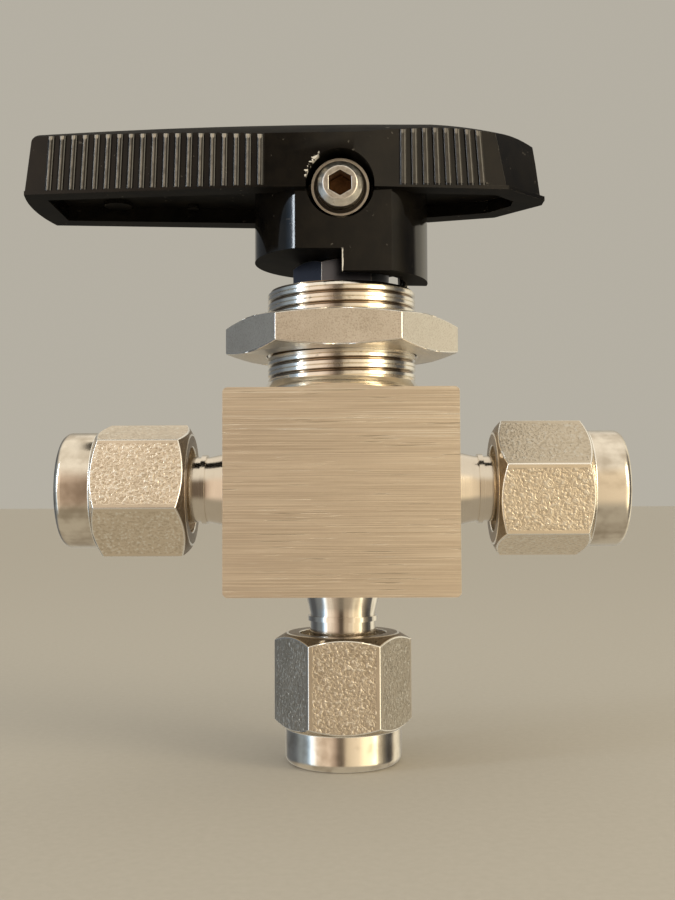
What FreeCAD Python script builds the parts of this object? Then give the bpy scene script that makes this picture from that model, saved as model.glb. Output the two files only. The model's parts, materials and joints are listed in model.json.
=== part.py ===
"""Three-way ball valve for small tube: body, ball, packing, handle, panel nut and tube nuts.

Millimetres. The stem axis is Z and the run ports lie along X. The origin is on the stem axis
where the panel thread begins, just above the body's shoulder.
"""
import FreeCAD, Part
import math
import os
import re

import Sketcher
from FreeCAD import Placement, Rotation, Vector

doc = FreeCAD.newDocument("three_way_ball_valve")
sheet = doc.addObject("Spreadsheet::Sheet", "Sizes")

SIZES = {
    "cutting shapes": {
        "overcut": 2.0,
    },
    "body block": {
        "body_width": 20.8,
        "body_depth": 15.2,
        "body_height": 18.4,
        "body_edge_round": 0.45,
        "port_drop": 8.9,
    },
    "panel neck": {
        "relief_height": 1.2,
        "flare_round": 2.2,
        "neck_radius": 6.95,
        "neck_height": 8.4,
        "neck_chamfer": 0.35,
    },
    "bore of the body": {
        "packing_bore": 4.55,
        "bolt_bore": 4.78,
        "bolt_thread_depth": 5.4,
        "flow_radius": 1.19,
    },
    "ball and stem": {
        "ball_radius": 3.2,
        "ball_gap": 0.1,
        "stem_radius": 2.38,
        "stem_gap": 0.06,
        "stem_top": 18.9,
        "stem_flat_depth": 0.5,
        "stem_chamfer": 0.3,
    },
    "packing and gland": {
        "fit_gap": 0.04,
        "packing_below_ball": 1.35,
        "packing_height": 9.0,
        "ring_radius": 2.1,
        "ring_inset": 3.45,
        "ring_height": 0.35,
        "bushing_height": 2.0,
        "gland_height": 2.2,
        "spring_height": 0.75,
        "spring_sheet": 0.4,
        "spring_radius": 4.3,
    },
    "packing bolt": {
        "bolt_radius": 4.7,
        "bolt_across_flats": 7.9,
        "bolt_head_height": 2.35,
        "bolt_head_lift": 0.15,
        "bolt_turn": 7.5,
        "corner_angle": 30,
    },
    "stop pins": {
        "pin_radius": 0.5,
        "pin_circle": 6.0,
        "pin_depth": 3.0,
        "pin_rise": 2.4,
        "pin_clearance": 0.6,
    },
    "panel nut": {
        "panel_nut_across_flats": 19.05,
        "panel_nut_height": 3.2,
        "panel_nut_lift": 2.3,
        "panel_nut_corner_angle": 15,
        "thread_gap": 0.09,
        "panel_nut_turn": -1.0,
    },
    "fitting ends of the body": {
        "port_half": 26.0,
        "port_bottom": 25.25,
        "foot_radius": 3.5,
        "foot_length": 2.0,
        "throat_radius": 3.05,
        "collar_radius": 3.25,
        "collar_width": 0.45,
        "spigot_radius": 3.9,
        "spigot_back": 11.4,
        "spigot_face": 5.3,
        "mouth_radius": 2.5,
        "mouth_depth": 2.0,
        "tube_bore": 1.63,
        "tube_depth": 12.4,
    },
    "tube nuts": {
        "nut_length": 11.95,
        "nut_across_flats": 11.11,
        "tail_length": 3.3,
        "tail_radius": 5.38,
        "tail_round": 0.8,
        "nut_chamfer": 0.75,
        "nut_floor": 2.3,
        "ferrule_room": 2.75,
        "nut_bore_depth": 5.0,
        "left_nut_turn": 15.2,
        "right_nut_turn": 19.2,
        "bottom_nut_turn": 1.8,
    },
    "ferrules": {
        "back_ferrule_length": 1.5,
        "back_ferrule_radius": 2.45,
        "back_flange": 0.5,
        "front_ferrule_length": 3.1,
        "front_ferrule_radius": 2.6,
        "front_collar": 0.7,
        "ferrule_tip": 1.85,
        "ferrule_gap": 0.05,
    },
    "handle": {
        "rim_height": 16.5,
        "rim_lift": 0.39,
        "rim_lip": 0.32,
        "foot_lift": 0.09,
        "rim_top_left": 16.88,
        "rim_top_middle": 16.62,
        "rim_top_right": 17.42,
        "crown_height": 23.9,
        "crown_radius": 12.6,
        "crown_bend": 520,
        "crown_sweep": 10,
        "grip_left": 29.15,
        "grip_left_width": 11.2,
        "left_width_at": 30.15,
        "grip_left_round": 27.85,
        "hub_width": 15.6,
        "wide_left": 6.9,
        "wide_right": 1.4,
        "grip_right": 19.15,
        "grip_right_width": 8.2,
        "right_width_at": 21.15,
        "nose_length": 5.95,
        "nose_width": 14.8,
        "point_width": 1.7,
        "end_draft": 7,
        "nose_bend": 40,
        "nose_bend_start": 6.0,
        "nose_sweep": 30,
        "nose_lean": 1.2,
        "nose_lip": 1.0,
        "end_round": 0.6,
        "wall": 2.1,
        "recess_depth": 1.5,
        "recess_left": 26.9,
        "recess_hub": 6.5,
        "recess_right": 16.2,
        "pad_drop": 0.4,
        "large_pad_at": 21.8,
        "large_pad_back": 2.8,
        "large_pad_radius": 1.35,
        "small_pad_at": 14.6,
        "small_pad_back": 3.9,
        "small_pad_radius": 0.55,
    },
    "handle ribs": {
        "rib_radius": 0.36,
        "rib_sink": 0.03,
        "left_rib_pitch": 1.072,
        "left_ribs": 19,
        "left_ribs_start": 7.08,
        "left_fan": 0.167,
        "left_fan_start": 4.2,
        "right_rib_pitch": 1.028,
        "right_ribs": 8,
        "right_ribs_start": 5.61,
        "right_fan": 0.643,
        "right_fan_start": 5.85,
    },
    "handle hub": {
        "hub_radius": 8.15,
        "hub_foot": 9.2,
        "hub_flat": 6.92,
        "hub_flat_turn": 2.3,
        "skirt_bore": 6.1,
        "skirt_depth": 2.0,
        "skirt_start": 271.2,
        "skirt_angle": 94.8,
        "screw_height": 16.95,
        "screw_hole_radius": 3.06,
        "screw_hole_floor": 3.1,
        "web_bore_gap": 0.3,
    },
    "handle insert and set screw": {
        "insert_radius": 4.4,
        "insert_foot": 12.8,
        "insert_top": 19.6,
        "insert_boss_radius": 2.62,
        "insert_boss_end": 5.9,
        "screw_radius": 2.06,
        "screw_end": 7.4,
        "screw_chamfer": 0.55,
        "socket_across_flats": 1.98,
        "socket_depth": 2.0,
    },
}


def fill_sheet():
    """Writes every size to the sheet, one row each, under its group's heading."""
    row = 1
    for heading, sizes in SIZES.items():
        sheet.set(f"A{row}", heading)
        for alias, number in sizes.items():
            row += 1
            sheet.set(f"A{row}", alias)
            sheet.set(f"B{row}", str(number))
            sheet.setAlias(f"B{row}", alias)
        row += 2
    doc.recompute()


fill_sheet()
NAMES = {alias for sizes in SIZES.values() for alias in sizes}


def cells(words):
    """Turns words such as 'body_width / 2' into the sheet's own references."""
    def reference(match):
        return "Sizes." + match.group() if match.group() in NAMES else match.group()

    return re.sub(r"[a-z][a-z_]*", reference, words)


def number(words):
    return float(sheet.evalExpression(cells(words)))


def bind(feature, **expressions):
    """Binds properties, such as Length='body_height', to the sheet."""
    for prop, words in expressions.items():
        feature.setExpression(prop.replace("__", "."), cells(words))


def new_body(label):
    body = doc.addObject("PartDesign::Body", label)
    body.Label = label
    return body


def new_sketch(body, plane, height="0", name="Sketch"):
    """A sketch on one of the body's origin planes, moved along that plane's normal by height."""
    sketch = body.newObject("Sketcher::SketchObject", name)
    support = next(item for item in body.Origin.OriginFeatures if item.Role == plane + "_Plane")
    sketch.AttachmentSupport = [(support, "")]
    sketch.MapMode = "FlatFace"
    if height != "0":
        bind(sketch, AttachmentOffset__Base__z=height)
    return sketch


def arc_between(start, end, radius):
    """The shorter arc of a radius, turning left from start to end, or right where it is negative."""
    chord = end - start
    side = Vector(-chord.y, chord.x, 0).normalize() * (1 if radius > 0 else -1)
    centre = (start + end) / 2 + side * math.sqrt(radius ** 2 - (chord.Length / 2) ** 2)
    first, last = (start, end) if radius > 0 else (end, start)
    circle = Part.Circle(centre, Vector(0, 0, 1), abs(radius))
    return Part.ArcOfCircle(circle, circle.parameter(first), circle.parameter(last))


def fix_point(sketch, geometry, position, corner):
    """Ties a corner to the sketch's origin by the two expressions that place it."""
    for kind, axis, words in (("DistanceX", -2, corner[0]), ("DistanceY", -1, corner[1])):
        value = number(words)
        if words == "0":
            sketch.addConstraint(Sketcher.Constraint("PointOnObject", geometry, position, axis))
            continue
        index = sketch.addConstraint(Sketcher.Constraint(kind, -1, 1, geometry, position, value))
        sketch.setExpression(f"Constraints[{index}]", cells(words))


def outline(sketch, corners):
    """Draws a closed outline. A corner is (x, y), or (x, y, radius) where an arc starts there."""
    points = [Vector(number(corner[0]), number(corner[1]), 0) for corner in corners]
    ends = []
    for index, corner in enumerate(corners):
        start, end = points[index], points[(index + 1) % len(points)]
        if len(corner) == 2:
            ends.append((sketch.addGeometry(Part.LineSegment(start, end), False), 1, 2))
            continue
        radius = number(corner[2])
        arc = sketch.addGeometry(arc_between(start, end, radius), False)
        ends.append((arc, 1, 2) if radius > 0 else (arc, 2, 1))
        limit = sketch.addConstraint(Sketcher.Constraint("Radius", arc, abs(radius)))
        sketch.setExpression(f"Constraints[{limit}]", cells(f"abs({corner[2]})"))
    for index, (geometry, first, last) in enumerate(ends):
        following, start, _ = ends[(index + 1) % len(ends)]
        sketch.addConstraint(Sketcher.Constraint("Coincident", geometry, last, following, start))
        fix_point(sketch, geometry, first, corners[index])


def circle(sketch, x, y, radius):
    centre = Vector(number(x), number(y), 0)
    ring = sketch.addGeometry(Part.Circle(centre, Vector(0, 0, 1), number(radius)), False)
    size = sketch.addConstraint(Sketcher.Constraint("Radius", ring, number(radius)))
    sketch.setExpression(f"Constraints[{size}]", cells(radius))
    if x == "0" and y == "0":
        sketch.addConstraint(Sketcher.Constraint("Coincident", ring, 3, -1, 1))
    else:
        fix_point(sketch, ring, 3, (x, y))


def hexagon(sketch, across_flats, turn="0"):
    """A hexagon about the origin, with a corner at the angle turn from the sketch's x."""
    corners = []
    for step in range(6):
        angle = f"({turn} + {60 * step}) * 1 deg"
        reach = f"{across_flats} / (2 * cos(30 deg))"
        corners.append((f"{reach} * cos({angle})", f"{reach} * sin({angle})"))
    outline(sketch, corners)


def grow(body, kind, sketch, name, **expressions):
    """Adds a Pad, Pocket, Revolution or Groove and makes sure that it changed the solid."""
    before = body.Shape.Volume if body.Tip else 0.0
    feature = body.newObject("PartDesign::" + kind, name)
    feature.Profile = sketch
    for prop in ("Reversed", "Midplane"):
        if expressions.pop(prop, False):
            setattr(feature, prop, True)
    if expressions.pop("ThroughAll", False):
        feature.Type = "ThroughAll"
    if kind in ("Revolution", "Groove"):
        feature.ReferenceAxis = (sketch, [expressions.pop("axis", "V_Axis")])
        feature.Angle = 360
    bind(feature, **expressions)
    doc.recompute()
    gained = body.Shape.Volume - before
    if (gained <= 1e-6) != (kind in ("Pocket", "Groove")) or abs(gained) < 1e-6:
        raise RuntimeError(f"{body.Label}: {name} changed the volume by {gained:.4f}")
    return feature


def turned(label, profile):
    """A piece turned about Z from a profile of (radius, height) corners."""
    body = new_body(label)
    sketch = new_sketch(body, "XZ", name="Profile")
    outline(sketch, profile)
    grow(body, "Revolution", sketch, "Turning")
    return body


def edges_where(feature, wanted):
    """The names of a feature's edges that pass a test."""
    return [f"Edge{i + 1}" for i, edge in enumerate(feature.Shape.Edges) if wanted(edge)]


def blend(body, kind, feature, wanted, name, **expressions):
    """Fillets or chamfers the edges of a feature that pass a test."""
    names = edges_where(feature, wanted)
    if not names:
        raise RuntimeError(f"{body.Label}: {name} finds no edge")
    edge_blend = body.newObject("PartDesign::" + kind, name)
    edge_blend.Base = (feature, names)
    bind(edge_blend, **expressions)
    doc.recompute()
    return edge_blend


def runs_along(edge, axis):
    """Whether an edge is a straight line along an axis."""
    if edge.Curve.TypeId != "Part::GeomLine":
        return False
    return abs(edge.tangentAt(edge.FirstParameter).dot(axis)) > 0.999


PORT_LEVEL = "-(relief_height + port_drop)"


def fitting_profile(block_face, end):
    """A fitting end's outside, from inside the block to its face, as (distance, radius)."""
    foot_end = f"({block_face} + foot_length)"
    thread_back = f"({end} - spigot_back)"
    return [
        (f"{block_face} - body_edge_round", "foot_radius"),
        (block_face, "foot_radius"),
        (foot_end, "throat_radius"),
        (f"{foot_end} + collar_width / 2", "throat_radius"),
        (f"{foot_end} + collar_width / 2", "collar_radius"),
        (f"{foot_end} + collar_width * 1.5", "collar_radius"),
        (f"{foot_end} + collar_width * 1.5", "throat_radius"),
        (thread_back, "throat_radius"),
        (f"{thread_back} + spigot_radius - throat_radius", "spigot_radius"),
        (f"{end} - spigot_face - neck_chamfer", "spigot_radius"),
        (f"{end} - spigot_face", "spigot_radius - neck_chamfer"),
    ]


def bore_profile(end):
    """A fitting end's bore, from its face in to the flow passage, as (distance, radius)."""
    face = f"({end} - spigot_face)"
    return [
        (face, "mouth_radius"),
        (f"{face} - mouth_depth", "tube_bore"),
        (f"{end} - tube_depth", "tube_bore"),
        (f"{end} - tube_depth", "flow_radius"),
    ]


def mirrored(profile):
    """A profile of (x, radius) corners with its mirror image added, closed along the axis."""
    left = [(f"-({x})", radius) for x, radius in reversed(profile)]
    return [(left[0][0], "0")] + left + profile + [(profile[-1][0], "0")]


def make_block(body):
    sketch = new_sketch(body, "XY", "-relief_height", "BlockOutline")
    half_width, half_depth = "body_width / 2", "body_depth / 2"
    outline(sketch, [
        (f"-{half_width}", f"-{half_depth}"),
        (half_width, f"-{half_depth}"),
        (half_width, half_depth),
        (f"-{half_width}", half_depth),
    ])
    block = grow(body, "Pad", sketch, "Block", Length="body_height", Reversed=True)
    across = Vector(0, 1, 0)
    blend(body, "Fillet", block, lambda edge: runs_along(edge, across), "BlockRounds",
          Radius="body_edge_round")


def make_panel_neck(body):
    """The threaded neck, whose concave foot runs out level with the block's front and back."""
    foot = "(neck_radius - neck_chamfer / 3)"
    reach = f"({foot} + sqrt(flare_round ^ 2 - (flare_round - relief_height) ^ 2))"
    profile = new_sketch(body, "XZ", name="NeckProfile")
    outline(profile, [
        ("0", "-relief_height - body_edge_round"),
        (reach, "-relief_height - body_edge_round"),
        (reach, "-relief_height", "-flare_round"),
        (foot, "0"),
        ("neck_radius", "0"),
        ("neck_radius", "neck_height - neck_chamfer"),
        ("neck_radius - neck_chamfer", "neck_height"),
        ("0", "neck_height"),
    ])
    grow(body, "Revolution", profile, "Neck")
    trim = new_sketch(body, "XY", name="FlareTrim")
    for side in ("", "-"):
        near, far = f"{side}body_depth / 2", f"{side}body_depth"
        outline(trim, [
            ("-body_width", near),
            ("body_width", near),
            ("body_width", far),
            ("-body_width", far),
        ])
    grow(body, "Pocket", trim, "FlareCut", Length="relief_height * 2")


def make_fitting_ends(body):
    run = new_sketch(body, "XZ", name="RunProfile")
    bind(run, AttachmentOffset__Base__y=PORT_LEVEL)
    outline(run, mirrored(fitting_profile("body_width / 2", "port_half")))
    grow(body, "Revolution", run, "RunEnds", axis="H_Axis")
    bottom = new_sketch(body, "XZ", name="BottomProfile")
    port_end = "(port_bottom + port_drop + relief_height)"
    profile = fitting_profile("(body_height + relief_height)", port_end)
    corners = [(radius, f"-({distance})") for distance, radius in profile]
    outline(bottom, [("0", corners[0][1])] + corners + [("0", corners[-1][1])])
    grow(body, "Revolution", bottom, "BottomEnd")


def make_passages(body):
    """The three tube sockets and the flow passages behind them."""
    run = new_sketch(body, "XZ", name="RunBore")
    bind(run, AttachmentOffset__Base__y=PORT_LEVEL)
    outline(run, mirrored(bore_profile("port_half")[::-1]))
    grow(body, "Groove", run, "RunPassage", axis="H_Axis")
    bottom = new_sketch(body, "XZ", name="BottomBore")
    corners = [(radius, f"-({distance})") for distance, radius in
               bore_profile("(port_bottom + port_drop + relief_height)")]
    outline(bottom, [("0", corners[0][1])] + corners + [(corners[-1][0], PORT_LEVEL), ("0", PORT_LEVEL)])
    grow(body, "Groove", bottom, "BottomPassage")


CAVITY_FLOOR = f"({PORT_LEVEL} - ball_radius - packing_below_ball)"


def make_valve_body():
    body = new_body("valve_body")
    make_block(body)
    make_panel_neck(body)
    make_fitting_ends(body)
    cavity = new_sketch(body, "XZ", name="CavityProfile")
    shelf = "(neck_height - bolt_thread_depth)"
    outline(cavity, [
        ("0", CAVITY_FLOOR),
        ("packing_bore", CAVITY_FLOOR),
        ("packing_bore", shelf),
        ("bolt_bore", shelf),
        ("bolt_bore", "neck_height"),
        ("0", "neck_height"),
    ])
    grow(body, "Groove", cavity, "Cavity")
    make_passages(body)
    pins = new_sketch(body, "XY", "neck_height", "PinHoles")
    for angle in PIN_ANGLES.values():
        circle(pins, *pin_centre(angle), "pin_radius")
    grow(body, "Pocket", pins, "PinSockets", Length="pin_depth")
    return body


PIN_REACH = "(asin(pin_radius / pin_circle) / 1 deg + pin_clearance)"
PIN_ANGLES = {
    "right_stop_pin": f"(skirt_start + skirt_angle - 360 + {PIN_REACH})",
    "rear_stop_pin": f"(skirt_start - 180 - {PIN_REACH})",
}


def pin_centre(angle):
    return f"pin_circle * cos({angle} * 1 deg)", f"pin_circle * sin({angle} * 1 deg)"


def make_stop_pins():
    """Two pins in the neck's top ring. The handle's skirt meets one at each end of its turn."""
    pins = []
    for label, angle in PIN_ANGLES.items():
        body = new_body(label)
        sketch = new_sketch(body, "XY", "neck_height - pin_depth", "PinSection")
        circle(sketch, *pin_centre(angle), "pin_radius")
        grow(body, "Pad", sketch, "Pin", Length="pin_depth + pin_rise")
        pins.append(body)
    return pins


def primitive(kind, name, **expressions):
    """A Part primitive whose sizes, and place as x, y and z, are bound to the sheet."""
    solid = doc.addObject("Part::" + kind, name)
    places = {f"Placement__Base__{axis}": expressions.pop(axis) for axis in "xyz" if axis in expressions}
    bind(solid, **expressions, **places)
    return solid


def combine(kind, label, first, *others):
    """Cuts the others from the first, or fuses or intersects them all."""
    result = doc.addObject("Part::" + kind, label)
    result.Label = label
    if kind in ("Cut", "Common"):
        result.Base = first
        result.Tool = others[0] if len(others) == 1 else union(label + "_tools", *others)
    else:
        result.Shapes = [first, *others]
    doc.recompute()
    return result


def union(name, *solids):
    joined = doc.addObject("Part::MultiFuse", name)
    joined.Shapes = list(solids)
    return joined


def passage(name, radius, length, direction):
    """A cylinder from the ball's centre outwards: right, left or down."""
    solid = primitive("Cylinder", name, Radius=radius, Height=length, z=PORT_LEVEL)
    turns = {"right": 90, "left": -90, "down": 180}
    solid.Placement.Rotation = Rotation(Vector(0, 1, 0), turns[direction])
    return solid


def make_ball_stem():
    """Ball and stem in one piece. The L-shaped passage joins the bottom port to the right one."""
    ball = primitive("Sphere", "ball", Radius="ball_radius", z=PORT_LEVEL)
    stem = primitive("Cylinder", "stem", Radius="stem_radius", z=PORT_LEVEL,
                     Height=f"stem_top - {PORT_LEVEL} - stem_chamfer")
    tip = primitive("Cone", "stem_tip", Radius1="stem_radius", Radius2="stem_radius - stem_chamfer",
                    Height="stem_chamfer", z="stem_top - stem_chamfer")
    solid = union("ball_and_stem", ball, stem, tip)
    flat = primitive("Box", "stem_flat", Length="stem_radius * 4", Width="stem_radius",
                     Height="stem_top", x="-stem_radius * 2", z="insert_foot",
                     y="-stem_radius * 2 + stem_flat_depth")
    down = passage("ball_bottom_bore", "flow_radius", "ball_radius + overcut", "down")
    right = passage("ball_side_bore", "flow_radius", "ball_radius + overcut", "right")
    return combine("Cut", "ball_stem", solid, flat, down, right)


def ring_pockets(name, reach):
    """Round pockets behind the three port openings, which hold the side rings and discs."""
    pockets = []
    for direction in ("right", "left", "down"):
        outer = passage(f"{name}_{direction}", "ring_radius + fit_gap", reach, direction)
        inner = passage(f"{name}_{direction}_keep", "ring_radius + fit_gap * 2", "ring_inset", direction)
        pockets.append(combine("Cut", f"{name}_{direction}_pocket", outer, inner))
    return pockets


def packing_half(label, foot, height):
    """One half of the packing: a plug in the cavity round the ball, split at the ports' level."""
    plug = primitive("Cylinder", label + "_plug", Radius="packing_bore - fit_gap", Height=height, z=foot)
    ball = primitive("Sphere", label + "_ball", Radius="ball_radius + ball_gap", z=PORT_LEVEL)
    stem = primitive("Cylinder", label + "_stem", Radius="stem_radius + stem_gap",
                     Height="packing_height * 2", z=PORT_LEVEL)
    bores = [passage(f"{label}_{direction}", "flow_radius", "packing_bore + overcut", direction)
             for direction in ("right", "left", "down")]
    pockets = ring_pockets(label, "packing_bore + overcut")
    return combine("Cut", label, plug, ball, stem, *bores, *pockets)


def make_packing():
    """Upper and lower packing, with a hair's gap between them where they meet."""
    half_gap = "fit_gap / 2"
    floor = f"({CAVITY_FLOOR} + fit_gap)"
    lower = packing_half("lower_packing", floor, f"{PORT_LEVEL} - {half_gap} - {floor}")
    upper = packing_half("upper_packing", f"{PORT_LEVEL} + {half_gap}", "packing_height")
    return [lower, upper]


def flow_washer(label, direction, start, end):
    """A washer round a flow passage, with its outer face curved to the cavity's wall."""
    disc = passage(label + "_disc", "ring_radius", end, direction)
    inside = passage(label + "_inside", "ring_radius + overcut", start, direction)
    bore = passage(label + "_bore", "flow_radius", "packing_bore + overcut", direction)
    blank = combine("Cut", label + "_blank", disc, inside, bore)
    cavity = primitive("Cylinder", label + "_cavity", Radius="packing_bore - fit_gap",
                       Height="packing_height * 2", z=f"{CAVITY_FLOOR} + fit_gap")
    return combine("Common", label, blank, cavity)


def make_side_rings_and_discs():
    """At each port opening a ring lies against the packing and a disc against the body."""
    pieces = []
    for side, direction in (("left", "left"), ("right", "right"), ("bottom", "down")):
        ring_start = "(ring_inset + fit_gap)"
        ring_end = f"({ring_start} + ring_height)"
        disc_start = f"({ring_end} + fit_gap)"
        pieces.append(flow_washer(side + "_side_ring", direction, ring_start, ring_end))
        pieces.append(flow_washer(side + "_side_disc", direction, disc_start, "packing_bore + overcut"))
    return pieces


PACKING_TOP = f"({PORT_LEVEL} + fit_gap / 2 + packing_height)"
BUSHING_TOP = f"({PACKING_TOP} + fit_gap + bushing_height)"
GLAND_TOP = f"({BUSHING_TOP} + fit_gap + gland_height)"
BOLT_FOOT = f"({GLAND_TOP} + spring_height * 2 + fit_gap * 3)"


def sleeve(foot, top):
    """Corners of a plain sleeve between the stem and the cavity's wall."""
    inner, outer = "stem_radius + stem_gap", "packing_bore - fit_gap"
    return [(inner, foot), (outer, foot), (outer, top), (inner, top)]


def make_bushing_and_gland():
    """The bushing centres the stem and the gland above it presses on the packing."""
    bushing = turned("bushing", sleeve(f"{PACKING_TOP} + fit_gap", BUSHING_TOP))
    gland = turned("gland", sleeve(f"{BUSHING_TOP} + fit_gap", GLAND_TOP))
    return [bushing, gland]


def make_springs():
    """Two dished springs, stacked rim to rim between the gland and the packing bolt."""
    inner = "stem_radius + stem_gap * 3"
    rise = "(spring_height - spring_sheet)"
    foot = f"({GLAND_TOP} + fit_gap)"
    lower = turned("lower_spring", [
        (inner, foot),
        (inner, f"{foot} + spring_sheet"),
        ("spring_radius", f"{foot} + spring_sheet + {rise}"),
        ("spring_radius", f"{foot} + {rise}"),
    ])
    top = f"({foot} + spring_height * 2 + fit_gap)"
    upper = turned("upper_spring", [
        (inner, top),
        (inner, f"{top} - spring_sheet"),
        ("spring_radius", f"{top} - spring_sheet - {rise}"),
        ("spring_radius", f"{top} - {rise}"),
    ])
    return [lower, upper]


def make_packing_bolt():
    """Hollow bolt in the neck, whose hexagon stands inside the handle's skirt."""
    body = turned("packing_bolt", [
        ("stem_radius + stem_gap", BOLT_FOOT),
        ("bolt_radius - neck_chamfer", BOLT_FOOT),
        ("bolt_radius", f"{BOLT_FOOT} + neck_chamfer"),
        ("bolt_radius", "neck_height + bolt_head_lift"),
        ("stem_radius + stem_gap", "neck_height + bolt_head_lift"),
    ])
    head = new_sketch(body, "XY", "neck_height + bolt_head_lift", "HeadSection")
    hexagon(head, "bolt_across_flats", "bolt_turn")
    circle(head, "0", "0", "stem_radius + stem_gap")
    grow(body, "Pad", head, "Head", Length="bolt_head_height")
    chamfer = new_sketch(body, "XZ", name="HeadChamfer")
    top = "(neck_height + bolt_head_lift + bolt_head_height)"
    edge = "(bolt_across_flats / 2)"
    outline(chamfer, [
        (edge, top),
        (f"{edge} + overcut", top),
        (f"{edge} + overcut", f"{top} - overcut * tan(corner_angle * 1 deg)"),
    ])
    grow(body, "Groove", chamfer, "HeadCorners")
    return body


def make_panel_nut():
    """Thin hexagon nut on the neck, chamfered at the corners of both faces."""
    body = new_body("panel_nut")
    section = new_sketch(body, "XY", name="NutSection")
    hexagon(section, "panel_nut_across_flats", "panel_nut_turn")
    circle(section, "0", "0", "neck_radius + thread_gap")
    grow(body, "Pad", section, "Hexagon", Length="panel_nut_height")
    for name, face, slope in (("LowerCorners", "0", 1), ("UpperCorners", "panel_nut_height", -1)):
        chamfer = new_sketch(body, "XZ", name=name + "Profile")
        edge = "(panel_nut_across_flats / 2)"
        outline(chamfer, [
            (edge, face),
            (f"{edge} + overcut", face),
            (f"{edge} + overcut", f"{face} + {slope} * overcut * tan(panel_nut_corner_angle * 1 deg)"),
        ])
        grow(body, "Groove", chamfer, name)
    bind(body, Placement__Base__z="panel_nut_lift")
    return body


PORTS = {
    "left": {"outward": Vector(-1, 0, 0), "corner": Vector(0, -1, 0), "turn": "-left_nut_turn"},
    "right": {"outward": Vector(1, 0, 0), "corner": Vector(0, -1, 0), "turn": "-right_nut_turn"},
    "bottom": {"outward": Vector(0, 0, -1), "corner": Vector(1, 0, 0), "turn": "-bottom_nut_turn"},
}


def seat_on_port(body, side):
    """Places a piece, made with its outer end at the origin and Z outwards, on a port."""
    port = PORTS[side]
    sideways = port["outward"].cross(port["corner"])
    turn = Rotation(port["corner"], sideways, port["outward"], "ZXY")
    body.Placement = Placement(Vector(0, 0, 0), turn)
    if side == "bottom":
        bind(body, Placement__Base__z=f"{PORT_LEVEL} - port_bottom")
    else:
        sign = "-" if side == "left" else ""
        bind(body, Placement__Base__x=sign + "port_half", Placement__Base__z=PORT_LEVEL)


def make_tube_nut(side):
    """A hexagon nut with a round tail. Its outer end is at the origin and it lies below it."""
    body = new_body(side + "_nut")
    turn = PORTS[side]["turn"]
    section = new_sketch(body, "XY", "-nut_length", "NutSection")
    hexagon(section, "nut_across_flats", turn)
    grow(body, "Pad", section, "Hexagon", Length="nut_length")
    flat = "(nut_across_flats / 2)"
    reach = f"({flat} + overcut)"
    slope = "tan(corner_angle * 1 deg)"
    tail = new_sketch(body, "XZ", name="TailProfile")
    outline(tail, [
        ("tail_radius", "overcut"),
        (reach, "overcut"),
        (reach, f"-tail_length - ({reach} - tail_radius) * {slope}"),
        ("tail_radius", "-tail_length"),
    ])
    grow(body, "Groove", tail, "Tail")
    corners = new_sketch(body, "XZ", name="CornerProfile")
    edge = f"({flat} - nut_chamfer / 2)"
    outline(corners, [
        (edge, "-nut_length"),
        (f"{edge} + overcut", "-nut_length"),
        (f"{edge} + overcut", f"-nut_length + overcut * {slope}"),
    ])
    inner_end = grow(body, "Groove", corners, "InnerCorners")
    rim = number("tail_radius")
    blend(body, "Fillet", inner_end, lambda edge: is_ring(edge, rim, 0), "TailRound", Radius="tail_round")
    bore = new_sketch(body, "XZ", name="BoreProfile")
    thread = "(spigot_radius + thread_gap)"
    outline(bore, [
        ("0", "0"),
        ("tube_bore", "0"),
        ("tube_bore", "-nut_floor"),
        ("ferrule_room", "-nut_floor"),
        ("ferrule_room", "-nut_bore_depth"),
        (thread, "-nut_bore_depth"),
        (thread, "-nut_length"),
        ("0", "-nut_length"),
    ])
    grow(body, "Groove", bore, "Bore")
    seat_on_port(body, side)
    return body


def is_ring(edge, radius, height):
    """Whether an edge is a full circle about Z with this radius, at this height."""
    if edge.Curve.TypeId != "Part::GeomCircle":
        return False
    return abs(edge.Curve.Radius - radius) < 0.001 and abs(edge.Curve.Center.z - height) < 0.001


def make_ferrules(side):
    """The two ferrules that grip the tube: the back one noses into the front one."""
    back_face = "(-nut_floor - ferrule_gap)"
    flange_end = f"({back_face} - back_flange)"
    back = turned(side + "_back_ferrule", [
        ("tube_bore", back_face),
        ("back_ferrule_radius", back_face),
        ("back_ferrule_radius", flange_end),
        ("back_ferrule_radius - back_flange", flange_end),
        ("tube_bore + ferrule_gap", f"{back_face} - back_ferrule_length"),
        ("tube_bore", f"{back_face} - back_ferrule_length"),
    ])
    front_face = f"({flange_end} - ferrule_gap)"
    recess = "(back_ferrule_length - back_flange)"
    front = turned(side + "_front_ferrule", [
        ("tube_bore", f"{front_face} - {recess} - ferrule_gap"),
        ("back_ferrule_radius - back_flange + ferrule_gap * 2", front_face),
        ("front_ferrule_radius", front_face),
        ("front_ferrule_radius", f"{front_face} - front_collar"),
        ("ferrule_tip", f"{front_face} - front_ferrule_length"),
        ("tube_bore", f"{front_face} - front_ferrule_length"),
    ])
    for ferrule in (back, front):
        seat_on_port(ferrule, side)
    return [front, back]


def pad_plan(body, name, inset, top):
    """Pads the plan of both arms, whose straight walls widen to the hub, from the rim's height."""
    plan = new_sketch(body, "XY", "rim_height", name + "Plan")
    left, hub, right = (f"({width} / 2 - {inset})"
                        for width in ("grip_left_width", "hub_width", "grip_right_width"))
    outline(plan, [
        ("-left_width_at", f"-{left}"),
        ("-wide_left", f"-{hub}"),
        ("wide_right", f"-{hub}"),
        ("right_width_at", f"-{right}"),
        ("right_width_at", right),
        ("wide_right", hub),
        ("-wide_left", hub),
        ("-left_width_at", left),
    ])
    grow(body, "Pad", plan, name, Length=f"{top} - rim_height")


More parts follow.
